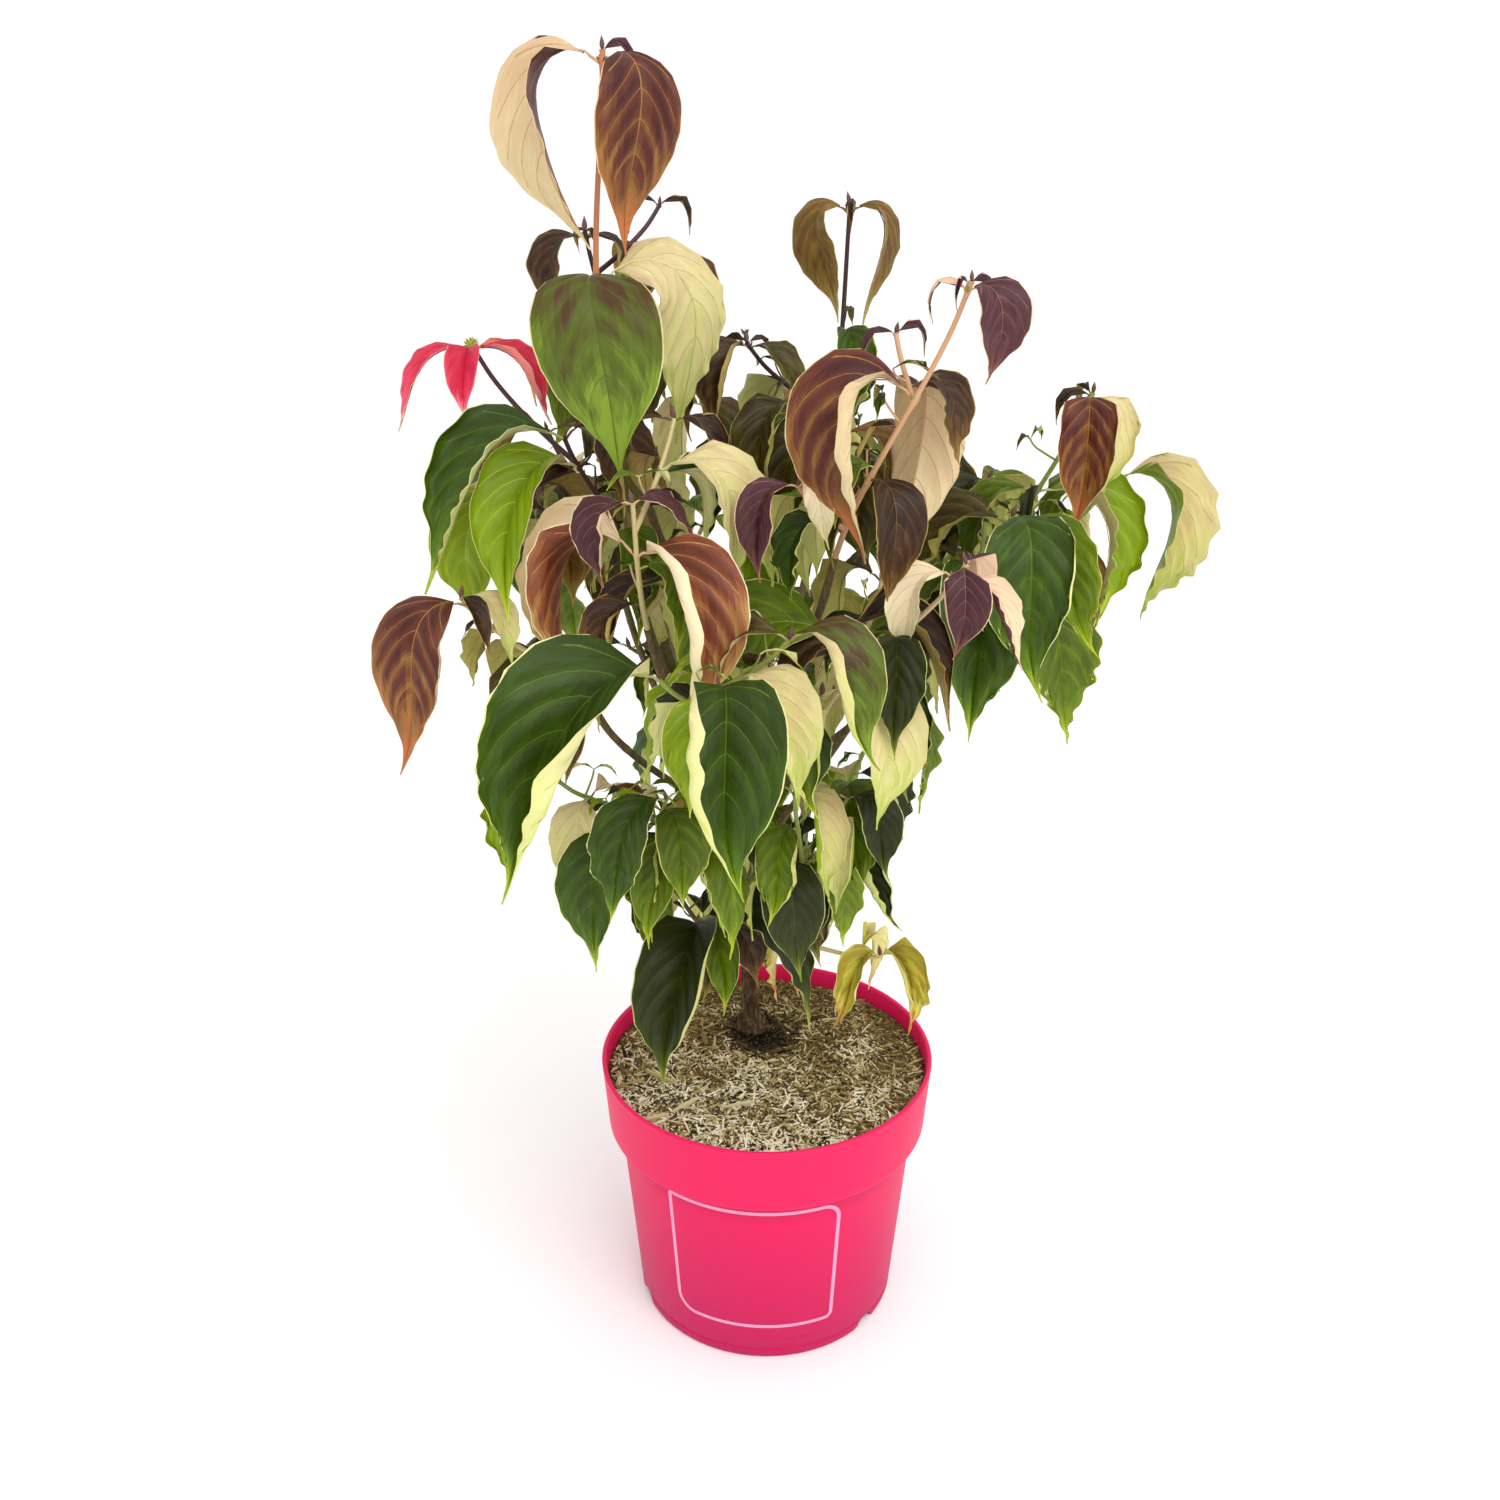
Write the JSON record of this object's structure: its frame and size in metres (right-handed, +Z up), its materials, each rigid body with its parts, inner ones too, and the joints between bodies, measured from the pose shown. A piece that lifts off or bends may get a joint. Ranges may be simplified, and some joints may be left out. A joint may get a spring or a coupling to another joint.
{
  "type": "potted kousa dogwood",
  "caption": "Young kousa dogwood shrub with hanging autumn-tinted leaves and one bloom, standing in a round nursery pot.",
  "frame": {"origin": "centre of the pot's flat underside, on the pot's axis", "axes": "+Z up along the pot's axis; -Y towards the viewer of the picture; +X to the viewer's right"},
  "size_m": [0.4291, 0.3981, 0.7328],
  "materials": {
    "pot_plastic": "semi-matte crimson-pink injection-moulded polypropylene",
    "growing_medium": "loose wood fibre and bark chips",
    "bark": "smooth young bark, brown at the foot and reddish on the shoots",
    "leaves_green": "satin deep green leaf with pale green underside",
    "leaves_lime": "satin lime green leaf with cream margin and underside",
    "leaves_bronze": "satin bronze leaf with golden veins",
    "leaves_burgundy": "satin burgundy leaf with golden veins and cream underside",
    "leaves_withered": "dull yellow withered leaf"
  },
  "bodies": {
    "root": {"pot": "pot_plastic", "growing_medium": "growing_medium", "trunk": "bark", "bough_leader": "bark", "bough_front": "bark", "bough_front_left": "bark", "bough_right": "bark", "bough_left": "bark", "bough_far_right": "bark", "bough_left_low": "bark", "bough_right_low": "bark", "bough_back_left": "bark", "bough_back_tall": "bark", "bough_low_left": "bark", "bough_low_right": "bark", "bough_foot_left": "bark", "bough_foot_right": "bark", "bough_left_back": "bark", "bough_back_right": "bark", "bough_back_centre": "bark", "bough_back_low": "bark", "bough_foot_back": "bark", "foliage_leader": "leaves_burgundy", "foliage_front": "leaves_green", "foliage_front_left": "leaves_burgundy", "foliage_right": "leaves_burgundy", "foliage_left": "leaves_green", "foliage_far_right": "leaves_lime", "foliage_left_low": "leaves_bronze", "foliage_right_low": "leaves_bronze", "foliage_back_left": "leaves_bronze", "foliage_back_tall": "leaves_bronze", "foliage_low_left": "leaves_lime", "foliage_low_right": "leaves_lime", "foliage_foot_left": "leaves_green", "foliage_foot_right": "leaves_withered", "foliage_left_back": "leaves_green", "foliage_back_right": "leaves_green", "foliage_back_centre": "leaves_green", "foliage_back_low": "leaves_green", "foliage_foot_back": "leaves_green"}
  },
  "joints": []
}
